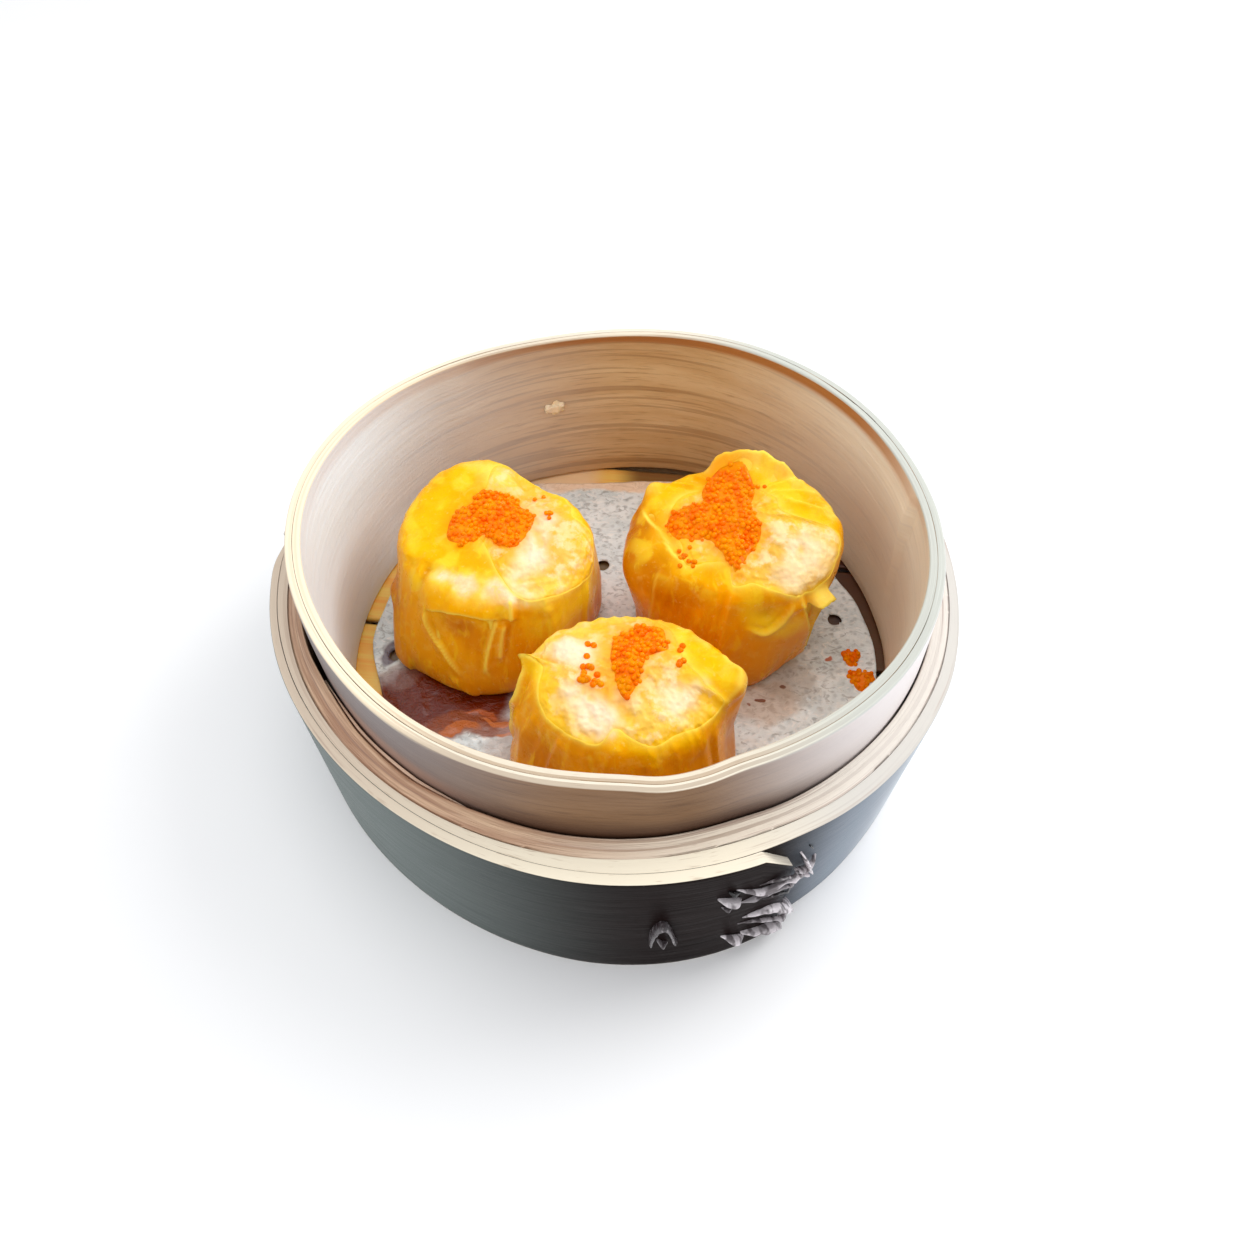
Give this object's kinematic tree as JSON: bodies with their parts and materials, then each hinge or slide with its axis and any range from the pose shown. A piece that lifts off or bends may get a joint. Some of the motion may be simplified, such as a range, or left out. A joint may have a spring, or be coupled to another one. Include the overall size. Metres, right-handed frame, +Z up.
{
  "type": "siu mai dumplings in a bamboo steaming basket",
  "caption": "Open-topped siu mai dumplings with fish roe, standing on a perforated paper liner in the small round bamboo basket they were steamed in.",
  "frame": {"origin": "on the table under the middle of the basket", "axes": "+Z up, +X to the diner's right, +Y away from the diner, who faces the stitched end of the basket's outermost ply"},
  "size_m": [0.1458, 0.1485, 0.0528],
  "materials": {
    "bamboo": "satin",
    "dark_bamboo": "satin",
    "slats": "satin",
    "liner": "gloss",
    "wrapper": "gloss",
    "filling": "satin",
    "roe": "gloss",
    "rattan": "satin"
  },
  "bodies": {
    "root": {"band_inner_ply": "bamboo", "band_middle_ply": "dark_bamboo", "band_outer_ply": "dark_bamboo", "bar_1": "slats", "bar_2": "slats", "filling_front": "filling", "filling_left": "filling", "filling_right": "filling", "foot_ring": "bamboo", "hoop_inner_ply": "bamboo", "hoop_outer_ply": "bamboo", "liner": "liner", "packing_strip": "bamboo", "roe_front": "roe", "roe_left": "roe", "roe_right": "roe", "slat_1": "slats", "slat_2": "slats", "slat_3": "slats", "slat_4": "slats", "spilled_roe_1": "roe", "spilled_roe_2": "roe", "stitch_knot": "rattan", "stitch_loop": "rattan", "stitch_lower_a": "rattan", "stitch_lower_b": "rattan", "stitch_upper_a": "rattan", "stitch_upper_b": "rattan", "wrapper_front": "wrapper", "wrapper_left": "wrapper", "wrapper_right": "wrapper"}
  },
  "joints": []
}
